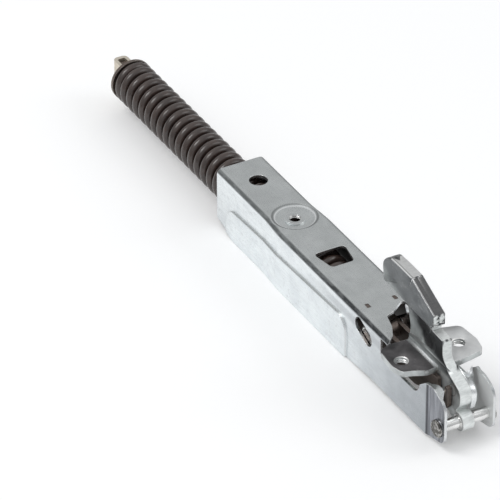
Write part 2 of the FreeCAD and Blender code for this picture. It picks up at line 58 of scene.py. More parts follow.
# Sizes shared with the solids, in millimetres
FLOOR = -26.4
PIVOT = (26.8, -16.5)
DENT = (2.2, 7.0)
LOWER_RIVET = (21.5, -4.6)
NECK_RIVET = (1.5, 6.2)
BLADE_RIVET = (-16.0, 22.5)
GUIDE = (-31.5, -8.6)
DISH = (-109.3, 0.0)
EAR_HOLE = (0.0, 13.25)
SPRING_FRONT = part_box("seat_washer")[0][0] / MM
SPRING_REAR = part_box("rear_cup")[0][0] / MM + 1.5
SPRING_AXIS = (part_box("seat_washer")[0][2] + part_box("seat_washer")[1][2]) / 2 / MM

# The mix node's sockets, for colours and for vectors
COLOUR_INPUTS = (6, 7)
COLOUR_OUTPUT = 2
VECTOR_INPUTS = (4, 5)
VECTOR_OUTPUT = 1


class Graph:
    """Short names for the nodes of one material."""

    def __init__(self, name):
        self.material = bpy.data.materials.new(name)
        self.material.use_nodes = True
        self.tree = self.material.node_tree
        self.bsdf = self.tree.nodes["Principled BSDF"]

    def put(self, socket, value):
        if isinstance(value, bpy.types.NodeSocket):
            self.tree.links.new(value, socket)
        else:
            socket.default_value = value

    def shade(self, **values):
        for name, value in values.items():
            self.put(self.bsdf.inputs[name.replace("_", " ")], value)

    def coords(self):
        return self.tree.nodes.new("ShaderNodeTexCoord").outputs["Object"]

    def normal(self):
        return self.tree.nodes.new("ShaderNodeTexCoord").outputs["Normal"]

    def split(self, vector):
        node = self.tree.nodes.new("ShaderNodeSeparateXYZ")
        self.put(node.inputs[0], vector)
        return node.outputs[0], node.outputs[1], node.outputs[2]

    def math(self, operation, a, b=0.0):
        node = self.tree.nodes.new("ShaderNodeMath")
        node.operation = operation
        self.put(node.inputs[0], a)
        self.put(node.inputs[1], b)
        return node.outputs[0]

    def times(self, a, b):
        return self.math("MULTIPLY", a, b)

    def stretch(self, vector, scale, shift=(0.0, 0.0, 0.0)):
        node = self.tree.nodes.new("ShaderNodeVectorMath")
        node.operation = "MULTIPLY_ADD"
        self.put(node.inputs[0], vector)
        node.inputs[1].default_value = scale
        node.inputs[2].default_value = shift
        return node.outputs[0]

    def noise(self, vector, scale, detail=2.0, rough=0.5):
        node = self.tree.nodes.new("ShaderNodeTexNoise")
        self.put(node.inputs["Vector"], vector)
        node.inputs["Scale"].default_value = scale
        node.inputs["Detail"].default_value = detail
        node.inputs["Roughness"].default_value = rough
        return node.outputs["Fac"]

    def ramp(self, value, low, high, to_low=0.0, to_high=1.0):
        node = self.tree.nodes.new("ShaderNodeMapRange")
        node.interpolation_type = "SMOOTHSTEP"
        self.put(node.inputs["Value"], value)
        node.inputs["From Min"].default_value = low
        node.inputs["From Max"].default_value = high
        node.inputs["To Min"].default_value = to_low
        node.inputs["To Max"].default_value = to_high
        return node.outputs["Result"]

    def mix(self, share, a, b):
        """A colour between two, each a socket or its red, green and blue."""
        node = self.tree.nodes.new("ShaderNodeMix")
        node.data_type = "RGBA"
        self.put(node.inputs[0], share)
        for index, colour in zip(COLOUR_INPUTS, (a, b)):
            linked = isinstance(colour, bpy.types.NodeSocket)
            self.put(node.inputs[index], colour if linked else (*colour, 1.0))
        return node.outputs[COLOUR_OUTPUT]

    def bump(self, height, distance, strength=1.0, normal=None):
        node = self.tree.nodes.new("ShaderNodeBump")
        self.put(node.inputs["Height"], height)
        node.inputs["Distance"].default_value = distance
        node.inputs["Strength"].default_value = strength
        if normal is not None:
            self.put(node.inputs["Normal"], normal)
        return node.outputs["Normal"]

    def rounded(self, radius):
        """A normal that rounds the sharp edges, and a mask of where it does."""
        bevel = self.tree.nodes.new("ShaderNodeBevel")
        bevel.samples = 4
        self.put(bevel.inputs["Radius"], radius)
        facing = self.tree.nodes.new("ShaderNodeNewGeometry").outputs["Normal"]
        dot = self.tree.nodes.new("ShaderNodeVectorMath")
        dot.operation = "DOT_PRODUCT"
        self.put(dot.inputs[0], bevel.outputs[0])
        self.put(dot.inputs[1], facing)
        turned = self.math("SUBTRACT", 1.0, dot.outputs["Value"])
        return bevel.outputs[0], self.ramp(turned, 0.01, 0.22)

    def reach(self, a, b, centre):
        """The distance from a centre, in the plane of two coordinates."""
        da = self.math("SUBTRACT", a, centre[0] * MM)
        db = self.math("SUBTRACT", b, centre[1] * MM)
        return self.math("SQRT", self.math("ADD", self.times(da, da), self.times(db, db)))

    def ring(self, far, radius, width):
        """A mask of a thin ring, from the distance to its centre."""
        off = self.math("ABSOLUTE", self.math("SUBTRACT", far, radius * MM))
        return self.ramp(off, 0.0, width * MM, 1.0, 0.0)

    def turn(self, share, normal, towards):
        """A normal turned towards another by a share."""
        node = self.tree.nodes.new("ShaderNodeMix")
        node.data_type = "VECTOR"
        self.put(node.inputs[0], share)
        self.put(node.inputs[VECTOR_INPUTS[0]], normal)
        node.inputs[VECTOR_INPUTS[1]].default_value = towards
        return node.outputs[VECTOR_OUTPUT]


def zinc_sheet():
    """Plated sheet: grey web, walls painted pale and bluish as a painted reflection, a mottled dark fold
    and bright cut edges with painted highlights.
    """
    g = Graph("zinc_sheet")
    place = g.coords()
    x, y, z = g.split(place)
    nx, ny, nz = g.split(g.normal())
    rim = g.times(g.ramp(z, -6.0 * MM, -7.5 * MM), g.ramp(x, -41.0 * MM, -43.0 * MM))
    smooth, edge = g.rounded(g.ramp(rim, 0.0, 1.0, 0.35 * MM, 1.1 * MM))
    edge = g.times(edge, g.ramp(rim, 0.0, 1.0, 1.0, 0.15))

    mottle = g.ramp(g.noise(place, 90.0, 4.0, 0.6), 0.3, 0.7)
    patch = g.noise(g.stretch(place, (1.0, 1.0, 1.0), (0.3, 0.1, 0.2)), 420.0, 3.0, 0.65)
    drawn = g.noise(g.stretch(place, (0.05, 1.0, 1.0)), 1900.0, 2.0, 0.5)
    speck = g.noise(place, 2600.0, 2.0, 0.6)

    web = g.mix(mottle, (0.63, 0.65, 0.645), (0.55, 0.57, 0.565))
    # The walls are painted paler than the web, and darker towards the front: painted reflection.
    wall = g.mix(mottle, (0.90, 0.94, 0.95), (0.80, 0.84, 0.86))
    dull = g.mix(mottle, (0.50, 0.525, 0.55), (0.40, 0.425, 0.45))
    wall = g.mix(g.ramp(x, -70.0 * MM, 18.0 * MM), wall, dull)
    # A darker band across the walls, towards the front: painted shade.
    wall_band_shade = g.times(g.ramp(z, -2.0 * MM, -3.6 * MM), g.ramp(z, -7.4 * MM, -5.4 * MM))
    wall_band_shade = g.times(wall_band_shade, g.ramp(x, -80.0 * MM, -52.0 * MM))
    wall = g.mix(g.times(wall_band_shade, 0.45), wall, (0.36, 0.38, 0.40))
    upward = g.ramp(nz, 0.55, 0.95)
    colour = g.mix(upward, wall, web)
    colour = g.mix(g.times(g.ramp(patch, 0.52, 0.75), 0.28), colour, (0.44, 0.45, 0.46))
    colour = g.mix(g.times(g.ramp(drawn, 0.35, 0.75), 0.16), colour, (0.40, 0.42, 0.44))

    # The fold, painted dark and mottled, darkest towards the front
    lean = g.times(g.times(ny, ny), g.times(nz, nz))
    fold = g.ramp(lean, 0.02, 0.2)
    fold_mottle = g.ramp(g.noise(g.stretch(place, (0.35, 1.0, 1.0)), 520.0, 4.0, 0.7), 0.36, 0.62)
    far = g.reach(x, y, DISH)
    fold = g.times(fold, g.ramp(g.math("ABSOLUTE", y), 7.2 * MM, 8.4 * MM))
    fold = g.times(fold, g.ramp(far, 10.1 * MM, 10.6 * MM))
    fold = g.times(fold, g.ramp(fold_mottle, 0.0, 1.0, 0.85, 1.0))
    deep = g.mix(g.ramp(x, -120.0 * MM, -35.0 * MM), (0.17, 0.18, 0.18), (0.055, 0.058, 0.06))
    colour = g.mix(fold, colour, deep)

    # The nose ahead of the joggle, where the walls were drawn
    outward = g.ramp(g.times(y, ny), 0.004, 0.008)
    ahead = g.times(g.ramp(x, 17.2 * MM, 18.4 * MM), outward)
    streak = g.ramp(g.noise(g.stretch(place, (1.0, 1.0, 0.06)), 900.0, 3.0, 0.6), 0.3, 0.7)
    nose = g.mix(streak, (0.145, 0.15, 0.165), (0.34, 0.35, 0.385))
    # A dark band along the joggle's step: painted shade.
    step = g.times(g.ramp(x, 17.4 * MM, 18.2 * MM), g.ramp(x, 19.6 * MM, 18.8 * MM))
    nose = g.mix(step, nose, (0.07, 0.072, 0.08))
    colour = g.mix(g.times(ahead, 0.92), colour, nose)

    # The inner faces are duller, painted dark deep inside as shade and pale towards the front as a
    # painted reflection
    inside = g.times(g.times(y, ny), -1.0)
    inside = g.times(g.ramp(inside, 0.001, 0.004), g.ramp(g.math("ABSOLUTE", ny), 0.5, 0.9))
    inner_shade_and_reflection = g.mix(g.ramp(x, -10.0 * MM, 20.0 * MM), (0.34, 0.34, 0.335), (0.90, 0.91, 0.90))
    colour = g.mix(g.times(inside, 0.85), colour, inner_shade_and_reflection)

    # The dish: a floor like the web's, with a crisp rim darkened by painted shade and a ring of painted
    # highlight inside it
    dish_rim_shade = g.times(g.ring(far, 9.5, 0.8), g.ramp(nz, 0.3, 0.6))
    colour = g.mix(g.times(dish_rim_shade, 0.7), colour, (0.15, 0.155, 0.155))
    glint = g.times(g.ring(far, 8.5, 0.45), g.ramp(nz, 0.3, 0.6))
    colour = g.mix(g.times(glint, 0.8), colour, (0.93, 0.94, 0.94))
    floor_of_dish = g.times(g.ramp(far, 8.9 * MM, 8.5 * MM), g.ramp(nz, 0.3, 0.6))

    # Cut edges of the sheet, and painted highlights along the rounded arrises
    cut = g.math("MAXIMUM", g.ramp(g.math("ABSOLUTE", nx), 0.75, 0.95), g.ramp(nz, -0.75, -0.95))
    colour = g.mix(g.times(cut, 0.7), colour, (0.80, 0.81, 0.81))
    colour = g.mix(g.times(edge, 0.75), colour, (0.93, 0.93, 0.93))

    rough = g.ramp(speck, 0.25, 0.75, 0.24, 0.38)
    rough = g.math("ADD", rough, g.times(fold, 0.16))
    rough = g.math("ADD", rough, g.times(inside, 0.16))
    wave = g.noise(g.stretch(place, (1.0, 1.0, 1.6)), 34.0, 1.0, 0.4)
    smooth = g.turn(g.times(floor_of_dish, 0.9), smooth, (0.0, 0.0, 1.0))
    normal = g.bump(wave, 1.1 * MM, 0.5, smooth)
    normal = g.bump(drawn, 0.008 * MM, 0.6, normal)
    normal = g.bump(speck, 0.004 * MM, 0.6, normal)
    metal = g.ramp(g.times(inside, g.ramp(x, 8.0 * MM, 20.0 * MM)), 0.0, 1.0, 1.0, 0.35)
    g.shade(Base_Color=colour, Metallic=metal, Roughness=rough, Normal=normal)
    return g.material


def dull_sheet():
    """Oiled brownish steel of the inner pieces, rougher and darker than the plated sheet."""
    g = Graph("dull_sheet")
    place = g.coords()
    smooth, edge = g.rounded(0.2 * MM)
    cloud = g.noise(place, 160.0, 4.0, 0.6)
    drawn = g.noise(g.stretch(place, (0.06, 1.0, 1.0)), 1500.0, 2.0, 0.5)
    grime = g.ramp(g.noise(place, 380.0, 5.0, 0.7), 0.5, 0.75)
    colour = g.mix(cloud, (0.23, 0.19, 0.165), (0.13, 0.11, 0.10))
    colour = g.mix(g.times(grime, 0.6), colour, (0.085, 0.055, 0.045))
    # Painted highlights on the rounded edges.
    colour = g.mix(g.times(edge, 0.6), colour, (0.62, 0.58, 0.54))
    rough = g.ramp(drawn, 0.25, 0.75, 0.34, 0.52)
    normal = g.bump(drawn, 0.010 * MM, 0.8, smooth)
    g.shade(Base_Color=colour, Metallic=1.0, Roughness=rough, Normal=normal)
    return g.material


def arm_steel(name, ear_painted_shade):
    """Stamped plate: blue-grey faces, sheared brown-grey edges painted lighter where they face up or
    forward, thin painted highlights on the arrises, and painted light and shade on the ears.
    """
    g = Graph(name)
    place = g.coords()
    x, y, z = g.split(place)
    nx, ny, nz = g.split(g.normal())
    apart = g.ramp(g.math("ABSOLUTE", y), 0.5 * MM, 0.9 * MM)
    for rivet in (NECK_RIVET, BLADE_RIVET):
        apart = g.times(apart, g.ramp(g.reach(x, z, rivet), 2.6 * MM, 3.0 * MM))
    smooth, edge = g.rounded(g.times(apart, 0.45 * MM))
    cloud = g.noise(place, 130.0, 4.0, 0.6)
    mottle = g.ramp(cloud, 0.3, 0.7)
    fine = g.noise(place, 1700.0, 3.0, 0.6)
    grain = g.noise(g.stretch(place, (1.0, 1.0, 0.08)), 1500.0, 2.0, 0.5)

    face = g.mix(mottle, (0.115, 0.122, 0.128), (0.084, 0.090, 0.095))
    # The face is darker lower down, towards the neck: painted shade.
    face = g.mix(g.ramp(z, 18.0 * MM, 11.5 * MM), face, (0.085, 0.089, 0.092))
    neck = g.mix(mottle, (0.50, 0.53, 0.52), (0.32, 0.34, 0.34))
    low = g.ramp(g.math("ADD", z, g.times(x, 0.45)), 10.0 * MM, 3.0 * MM)
    face = g.mix(low, face, neck)
    foot = g.mix(mottle, (0.60, 0.62, 0.62), (0.40, 0.42, 0.42))
    face = g.mix(g.ramp(z, 1.0 * MM, -3.0 * MM), face, foot)

    # The dent pressed into the neck, painted dark as shade in its hollow
    far = g.reach(x, z, DENT)
    flat = g.ramp(g.math("ABSOLUTE", ny), 0.8, 0.95)
    dent = g.times(g.ramp(far, 5.4 * MM, 3.0 * MM), flat)
    face = g.mix(g.times(dent, 0.85), face, (0.065, 0.066, 0.068))

    # The sheared edge: a burnished band by the left face, a dark line and a torn band
    sheared = g.ramp(g.math("ABSOLUTE", ny), 0.75, 0.35)
    across = g.noise(g.stretch(place, (1.0, 0.3, 1.0)), 1300.0, 3.0, 0.6)
    wander = g.math("ADD", y, g.times(cloud, 0.4 * MM))
    torn = g.ramp(wander, -1.7 * MM, -1.3 * MM)
    # Edges that face up are painted lighter than those that slope away: painted light.
    upward = g.ramp(nz, 0.95, 0.98)
    shear = g.mix(upward, (0.42, 0.42, 0.42), (0.90, 0.90, 0.89))
    tear = g.mix(upward, (0.155, 0.155, 0.155), (0.74, 0.74, 0.73))
    rough_tear = g.mix(upward, (0.11, 0.11, 0.11), (0.56, 0.56, 0.55))
    tear = g.mix(g.times(g.ramp(across, 0.35, 0.7), 0.5), tear, rough_tear)
    band = g.mix(torn, shear, tear)
    line = g.times(g.ramp(wander, -1.9 * MM, -1.5 * MM), g.ramp(wander, -1.1 * MM, -1.5 * MM))
    band = g.mix(g.times(line, 0.6), band, (0.05, 0.048, 0.048))
    # Edges that face forward, and the leg's edge, painted pale: painted light, paler lower down.
    pale = g.mix(g.ramp(across, 0.3, 0.7), (0.92, 0.95, 0.94), (0.74, 0.77, 0.76))
    ahead = g.ramp(nx, 0.72, 0.92)
    band = g.mix(g.times(ahead, 0.9), band, pale)
    leg = g.times(g.ramp(z, 15.4 * MM, 14.6 * MM), g.ramp(x, -4.0 * MM, 4.0 * MM))
    band = g.mix(g.times(leg, g.ramp(z, 9.0 * MM, 3.0 * MM, 0.5, 0.9)), band, pale)
    colour = g.mix(sheared, face, band)

    # The ear's upper face: the left ear painted dark as shade, the right ear painted pale as light
    ear = g.times(g.ramp(g.math("ABSOLUTE", y), 2.6 * MM, 4.6 * MM), g.ramp(nz, 0.4, 0.85))
    if ear_painted_shade:
        ear_light_and_shade = g.mix(mottle, (0.142, 0.136, 0.138), (0.090, 0.086, 0.088))
    else:
        ear_light_and_shade = g.mix(mottle, (0.74, 0.745, 0.74), (0.62, 0.625, 0.625))
    # A painted highlight along the ear's bend.
    bend = g.times(g.ramp(g.math("ABSOLUTE", y), 2.5 * MM, 2.9 * MM), g.ramp(z, -4.0 * MM, -2.6 * MM))
    gleam = g.mix(mottle, (0.62, 0.65, 0.65), (0.42, 0.44, 0.44))
    colour = g.mix(g.times(bend, 0.8), colour, gleam)
    colour = g.mix(ear, colour, ear_light_and_shade)

    # A painted highlight about the ear's hole, rub marks and painted highlights on the arrises
    from_hole = g.reach(x, g.math("ABSOLUTE", y), EAR_HOLE)
    hole_highlight = g.times(g.ring(from_hole, 2.75, 0.45), g.ramp(nz, 0.4, 0.85))
    colour = g.mix(g.times(hole_highlight, 0.9), colour, (0.92, 0.91, 0.89))
    ring = g.ring(g.reach(x, z, LOWER_RIVET), 2.35, 0.35)
    colour = g.mix(g.times(ring, 0.7), colour, (0.07, 0.065, 0.06))
    rub = g.ramp(g.noise(g.stretch(place, (0.5, 1.0, 1.0)), 240.0, 5.0, 0.7), 0.56, 0.72)
    colour = g.mix(g.times(rub, 0.3), colour, (0.48, 0.48, 0.48))
    colour = g.mix(g.times(g.times(edge, apart), 0.85), colour, (0.90, 0.90, 0.89))

    rough = g.ramp(fine, 0.25, 0.75, 0.28, 0.42)
    rough = g.math("ADD", rough, g.times(sheared, 0.06))
    pressed = g.times(g.math("ADD", g.times(ring, 0.1), dent), -1.0)
    normal = g.bump(pressed, 1.2 * MM, 1.0, smooth)
    normal = g.bump(g.times(across, sheared), 0.04 * MM, 0.7, normal)
    normal = g.bump(g.math("ADD", grain, fine), 0.010 * MM, 0.8, normal)
    plated = g.math("MAXIMUM", g.times(low, flat), g.times(leg, sheared))
    metal = g.ramp(plated, 0.0, 1.0, 1.0, 0.55)
    g.shade(Base_Color=colour, Metallic=metal, Roughness=rough, Normal=normal)
    return g.material


def bright_steel():
    """Turned pins: bright, with fine turning marks and painted highlights on the edges, and the pivot's
    heads painted dark as shade, mottled.
    """
    g = Graph("bright_steel")
    place = g.coords()
    smooth, edge = g.rounded(0.25 * MM)
    turned = g.noise(g.stretch(place, (0.1, 1.0, 0.1)), 3200.0, 2.0, 0.5)
    cloud = g.noise(place, 300.0, 3.0, 0.6)
    mottle = g.ramp(cloud, 0.3, 0.7)
    x, y, z = g.split(place)
    far = g.reach(x, z, PIVOT)
    head = g.times(g.ramp(g.math("ABSOLUTE", y), 11.9 * MM, 12.1 * MM), g.ramp(far, 6.0 * MM, 5.0 * MM))
    ring = g.times(g.ring(far, 2.4, 0.25), head)
    colour = g.mix(mottle, (0.88, 0.88, 0.87), (0.72, 0.72, 0.71))
    # The pivot's heads painted dark as shade, mottled lighter in patches.
    head_mottle = g.ramp(g.noise(place, 620.0, 3.0, 0.6), 0.42, 0.62)
    dark = g.mix(head_mottle, (0.10, 0.095, 0.085), (0.44, 0.43, 0.41))
    colour = g.mix(head, colour, dark)
    colour = g.mix(g.times(ring, 0.55), colour, (0.07, 0.065, 0.06))
    # Painted highlights on the rounded edges.
    colour = g.mix(g.times(edge, 0.6), colour, (0.93, 0.93, 0.92))
    rough = g.ramp(cloud, 0.3, 0.7, 0.16, 0.26)
    normal = g.bump(g.times(ring, -1.0), 0.10 * MM, 1.0, smooth)
    normal = g.bump(turned, 0.006 * MM, 0.8, normal)
    g.shade(Base_Color=colour, Metallic=1.0, Roughness=rough, Normal=normal)
    return g.material


def guide_steel():
    """Dark discs of the guide, with turned rings painted bright as highlights and painted highlights on
    the edges.
    """
    g = Graph("guide_steel")
    place = g.coords()
    x, y, z = g.split(place)
    smooth, edge = g.rounded(0.4 * MM)
    cloud = g.noise(place, 420.0, 4.0, 0.6)
    mottle = g.ramp(cloud, 0.3, 0.7)
    far = g.reach(x, z, GUIDE)
    ring = g.math("MAXIMUM", g.ring(far, 3.6, 0.55), g.ring(far, 1.7, 0.4))
    colour = g.mix(mottle, (0.075, 0.062, 0.055), (0.035, 0.030, 0.028))
    # The turned rings, and then the rounded edges, painted bright: painted highlights.
    colour = g.mix(g.times(ring, g.ramp(cloud, 0.35, 0.6)), colour, (0.90, 0.90, 0.88))
    colour = g.mix(g.times(edge, 0.7), colour, (0.92, 0.92, 0.91))
    normal = g.bump(ring, 0.25 * MM, 1.0, smooth)
    g.shade(Base_Color=colour, Metallic=1.0, Roughness=0.24, Normal=normal)
    return g.material


def spring_lacquer():
    """Dark brown oiled lacquer on drawn wire, with reddish spots."""
    g = Graph("spring_lacquer")
    place = g.coords()
    cloud = g.noise(place, 210.0, 4.0, 0.6)
    mottle = g.ramp(cloud, 0.3, 0.7)
    spots = g.ramp(g.noise(place, 1100.0, 4.0, 0.7), 0.55, 0.72)
    drawn = g.noise(g.stretch(place, (1.0, 0.2, 0.2)), 2400.0, 2.0, 0.5)
    colour = g.mix(mottle, (0.050, 0.032, 0.026), (0.030, 0.020, 0.017))
    colour = g.mix(g.times(spots, 0.45), colour, (0.085, 0.045, 0.030))
    rough = g.ramp(drawn, 0.25, 0.75, 0.26, 0.36)
    normal = g.bump(g.math("ADD", drawn, cloud), 0.03 * MM, 0.5)
    g.shade(Base_Color=colour, Metallic=0.0, Roughness=rough, Normal=normal)
    g.shade(Coat_Weight=0.45, Coat_Roughness=0.10)
    return g.material


def clip_plating():
    """Pale yellowish plating of the end clip."""
    g = Graph("clip_plating")
    place = g.coords()
    smooth, edge = g.rounded(0.25 * MM)
    mottle = g.ramp(g.noise(place, 260.0, 4.0, 0.6), 0.3, 0.7)
    fine = g.noise(place, 1800.0, 3.0, 0.6)
    colour = g.mix(mottle, (0.74, 0.68, 0.58), (0.60, 0.54, 0.45))
    # Painted highlights on the rounded edges.
    colour = g.mix(g.times(edge, 0.6), colour, (0.93, 0.90, 0.84))
    rough = g.ramp(fine, 0.25, 0.75, 0.34, 0.5)
    normal = g.bump(fine, 0.012 * MM, 0.8, smooth)
    g.shade(Base_Color=colour, Metallic=0.85, Roughness=rough, Normal=normal)
    return g.material


MATERIALS = {
    "housing_sheet": zinc_sheet(),
    "inner_sheet": dull_sheet(),
    "turned_steel": bright_steel(),
    "spring_wire": spring_lacquer(),
    "clip_steel": clip_plating(),
}
ARM_LEFT = arm_steel("arm_steel_left", True)
ARM_RIGHT = arm_steel("arm_steel_right", False)
GUIDE_STEEL = guide_steel()
SLOTS = {entry["node"]: entry["material_slot"] for entry in frame["record"]["subparts"]}


def dress(name, obj):
    """Gives a node the material of its surface."""
    if name in ("arm_plate_left", "arm_rivets"):
        chosen = ARM_LEFT
    elif name == "arm_plate_right":
        chosen = ARM_RIGHT
    elif name.startswith("guide_disc"):
        chosen = GUIDE_STEEL
    elif name.startswith("guide_"):
        chosen = MATERIALS["inner_sheet"]
    elif name == "threaded_insert":
        chosen = MATERIALS["housing_sheet"]
    else:
        chosen = MATERIALS[SLOTS[name]]
    for i in range(max(1, len(obj.material_slots))):
        if i >= len(obj.material_slots):
            obj.data.materials.append(chosen)
        else:
            obj.material_slots[i].material = chosen


for name, obj in nodes.items():
    dress(name, obj)


def make_mesh(name, points, faces, material):
    """A smooth piece from points in millimetres."""
    mesh = bpy.data.meshes.new(name)
    mesh.from_pydata([tuple(c * MM for c in p) for p in points], [], faces)
    mesh.update()
    mesh.polygons.foreach_set("use_smooth", [True] * len(mesh.polygons))
    mesh.materials.append(material)
    obj = bpy.data.objects.new(name, mesh)
    bpy.context.scene.collection.objects.link(obj)
    return obj


# The blade as photographed: where corners of the solid's blade go, as (x, z) and the move in x and z
BLADE_MOVES = (
    ((-29.4, 16.0), (-3.4, 0.2)), ((-29.7, 25.4), (-3.8, -0.7)), ((-25.8, 29.9), (-3.4, -0.9)),
    ((-17.4, 30.3), (-4.0, -1.0)), ((-5.2, 28.3), (-6.0, 0.8)), ((1.8, 23.0), (-4.1, 2.3)),
    ((8.8, 17.6), (-2.2, 3.9)), ((8.4, 15.6), (-2.4, 1.0)), ((-20.0, 15.8), (-2.0, 0.1)),
)
BLADE_START = 14.9
BLADE_FULL = 15.9
BLADE_RIVET_REACH = 3.0


def blending(places, points):
    """How much each place, and a plain tilt, sways each point."""
    far = np.linalg.norm(points[:, None] - places[None], axis=2)
    return np.hstack([far, np.ones((len(points), 1)), points])


def smooth_field(pairs):
    """A field of moves that is exact at the given places and even between them."""
    places = np.array([place for place, _ in pairs])
    wanted = np.array([move for _, move in pairs])
    sway = blending(places, places)
    tilt = sway[:, len(places):]
    system = np.vstack([sway, np.hstack([tilt.T, np.zeros((3, 3))])])
    weights = np.linalg.solve(system, np.vstack([wanted, np.zeros((3, 2))]))
    return lambda x, z: (blending(places, np.array([[x, z]])) @ weights)[0]


blade_field = smooth_field(BLADE_MOVES)


def blade_move(point):
    """Moves a corner of the blade, and leaves the rest and the rivet's hole where they are."""
    x, z = point.x / MM, point.z / MM
    share = min(max((z - BLADE_START) / (BLADE_FULL - BLADE_START), 0.0), 1.0)
    if share == 0.0 or math.dist((x, z), BLADE_RIVET) < BLADE_RIVET_REACH:
        return
    dx, dz = blade_field(x, z)
    point.x += share * dx * MM
    point.z += share * dz * MM


def reshape(name):
    """A copy of an arm plate with its blade moved, which stands for it."""
    form = bmesh.new()
    form.from_mesh(nodes[name].data)
    bmesh.ops.remove_doubles(form, verts=form.verts, dist=1e-6)
    for corner in form.verts:
        blade_move(corner.co)
    mesh = bpy.data.meshes.new(name + "_shape")
    form.to_mesh(mesh)
    form.free()
    mesh.polygons.foreach_set("use_smooth", [True] * len(mesh.polygons))
    mesh.set_sharp_from_angle(angle=math.radians(32))
    mesh.materials.clear()
    mesh.materials.append(nodes[name].material_slots[0].material)
    piece = bpy.data.objects.new(name + "_shape", mesh)
    bpy.context.scene.collection.objects.link(piece)
    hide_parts(name)
    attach(piece, "arm")


reshape("arm_plate_left")
reshape("arm_plate_right")


def tube(centres, outs, sides, radius, count):
    """Rings of a round wire about a path, with capped ends."""
    points = []
    faces = []
    for centre, out, side in zip(centres, outs, sides):
        for i in range(count):
            turn = 2 * math.pi * i / count
            points.append(centre + out * (radius * math.cos(turn)) + side * (radius * math.sin(turn)))
    for k in range(len(centres) - 1):
        for i in range(count):
            j = (i + 1) % count
            a, b = k * count, (k + 1) * count
            faces.append((a + i, a + j, b + j, b + i))
    faces.append(tuple(range(count - 1, -1, -1)))
    last = (len(centres) - 1) * count
    faces.append(tuple(last + i for i in range(count)))
    return points, faces


def make_spring():
    """The round wire, closed and ground flat at both ends."""
    turns = 34.5
    closed_turns = 0.9
    easing_turns = 0.6
    steps = 40
    wire = 2.0
    wire_sides = 14
    radius = 7.8
    around = 2 * math.pi * radius
    closed = 4.1
    ground = 0.9
    span = SPRING_FRONT - SPRING_REAR - 2 * ground

    def share(turn):
        """How far the pitch is open, at a turn counted from the rear end."""
        return min(max((min(turn, turns - turn) - closed_turns) / easing_turns, 0.0), 1.0)

    count = round(turns * steps)
    shares = [share((i + 0.5) / steps) for i in range(count)]
    open_pitch = (span * steps - closed * sum(1 - s for s in shares)) / sum(shares)
    centres, outs, sides = [], [], []
    along = SPRING_REAR + ground
    for i in range(count + 1):
        turn = 2 * math.pi * i / steps
        out = Vector((0, math.cos(turn), math.sin(turn)))
        step = closed + (open_pitch - closed) * shares[min(i, count - 1)]
        ahead = Vector((step, -around * math.sin(turn), around * math.cos(turn)))
        side = ahead.normalized().cross(out)
        centres.append(Vector((along, 0, SPRING_AXIS)) + out * radius)
        outs.append(out)
        sides.append(side)
        along += step / steps
    points, faces = tube(centres, outs, sides, wire, wire_sides)
    for p in points:
        p.x = min(max(p.x, SPRING_REAR), SPRING_FRONT)
    return make_mesh("coil_spring", points, faces, MATERIALS["spring_wire"])


spring = make_spring()
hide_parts("spring")
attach(spring, "housing")
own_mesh(spring)


def thread(name, x, y, low, high, radius, pitch, body):
    """The crests of an inner thread, in its bore, which fade in and out at its ends."""
    steps = 36
    fading = 12
    sunk = 0.03
    depth = 0.42 * pitch
    crest = 0.08 * pitch
    root = 0.3 * pitch
    count = int((high - low - 2 * root) / pitch * steps)
    points = []
    faces = []
    for i in range(count + 1):
        turn = 2 * math.pi * i / steps
        tip = radius - depth * min(1.0, i / fading, (count - i) / fading)
        z = low + root + pitch * i / steps
        for r, dz in ((radius + sunk, -root), (tip, -crest), (tip, crest), (radius + sunk, root)):
            points.append(Vector((x + r * math.cos(turn), y + r * math.sin(turn), z + dz)))
    for i in range(count):
        for j in range(3):
            a = 4 * i + j
            faces.append((a, a + 1, a + 5, a + 4))
    piece = make_mesh(name, points, faces, MATERIALS["turned_steel"])
    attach(piece, body)


# The threads: the heights between which each runs, its bore's radius and its pitch
EAR_THREAD = (-2.6, -0.4, 2.5, 0.8)
thread("ear_thread_left", EAR_HOLE[0], -EAR_HOLE[1], *EAR_THREAD, "arm")
thread("ear_thread_right", EAR_HOLE[0], EAR_HOLE[1], *EAR_THREAD, "arm")
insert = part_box("threaded_insert")
INSERT_THREAD = (insert[0][2] / MM, insert[1][2] / MM, 2.6, 0.7)
thread("insert_thread", (insert[0][0] + insert[1][0]) / 2 / MM, 0.0, *INSERT_THREAD, "housing")

# The flank: control points (x, z) of its root and of its ridge, and the ridge's y at shares of its length
FLANK_ROOT = ((17.5, 1.6), (25.0, -0.6), (29.2, -2.6), (26.6, -11.6))
FLANK_RIDGE = ((16.8, 0.4), (18.0, -3.0), (21.0, -7.5), (25.2, -11.8))
FLANK_REACH = ((0.0, 9.5), (0.33, 9.0), (0.66, 7.6), (1.0, 5.1))
FLANK_ROOT_Y = 2.62
FLANK_TURN_Y = 4.9
FLANK_DIP = 3.4
FLANK_THICKNESS = 1.0

# The tab folded in from the left wall: at stations x and z, how far its free edge is from the middle
TAB_STATIONS = (
    (19.0, -1.1, 9.8), (21.0, -1.0, 8.3), (23.4, -1.3, 8.0), (25.6, -2.2, 8.9), (27.0, -2.9, 10.1),
)
TAB_ROOT_Y = 10.7
TAB_THICKNESS = 0.9


def bezier(points, count):
    """Points along a cubic through its four control points."""
    found = []
    for i in range(count + 1):
        t = i / count
        weights = ((1 - t) ** 3, 3 * t * (1 - t) ** 2, 3 * t * t * (1 - t), t ** 3)
        found.append(tuple(sum(w * p[k] for w, p in zip(weights, points)) for k in range(2)))
    return found


def blend_values(table, count):
    """Straight steps between (share, value) pairs."""
    found = []
    for i in range(count + 1):
        t = i / count
        for (t0, v0), (t1, v1) in zip(table, table[1:]):
            if t <= t1 + 1e-9:
                found.append(v0 + (v1 - v0) * (t - t0) / (t1 - t0))
                break
    return found


